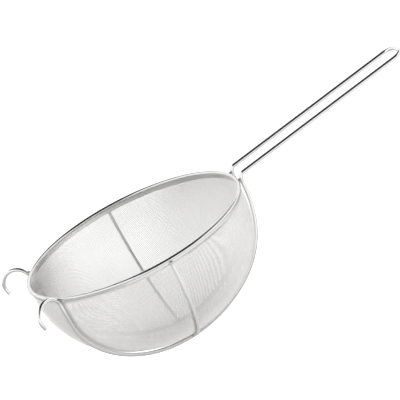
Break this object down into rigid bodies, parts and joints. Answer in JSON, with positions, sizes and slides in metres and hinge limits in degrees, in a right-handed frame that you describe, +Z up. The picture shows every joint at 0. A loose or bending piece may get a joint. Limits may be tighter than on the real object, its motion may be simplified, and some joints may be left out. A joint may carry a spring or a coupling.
{
  "type": "mesh strainer",
  "caption": "Round bowl strainer of woven steel wire with a folded rim, a long wire loop handle, ribs under the bowl and hooks that rest on a pot.",
  "frame": {"origin": "centre of the rim, in the plane of the rim's top", "axes": "+Z up out of the bowl's mouth, +X from the bowl's centre towards the handle, +Y across, towards the left strut"},
  "size_m": [0.3871, 0.204, 0.1264],
  "materials": {
    "polished_wire": "electropolished stainless steel wire, mirror bright",
    "woven_mesh": "plain-woven fine stainless steel wire, bright",
    "rim_strip": "polished stainless steel strip, folded",
    "core_wire": "plain drawn steel wire",
    "weld_metal": "small resistance welds, slightly darker than the wire"
  },
  "bodies": {
    "root": {"frame_wire": "polished_wire", "mesh_bowl": "woven_mesh", "rim_band": "rim_strip", "rim_core_wire": "core_wire", "side_strut_left": "polished_wire", "side_strut_right": "polished_wire", "leg_welds": "weld_metal", "hook_welds": "weld_metal", "strut_rim_welds": "weld_metal", "strut_rib_welds": "weld_metal"}
  },
  "joints": []
}
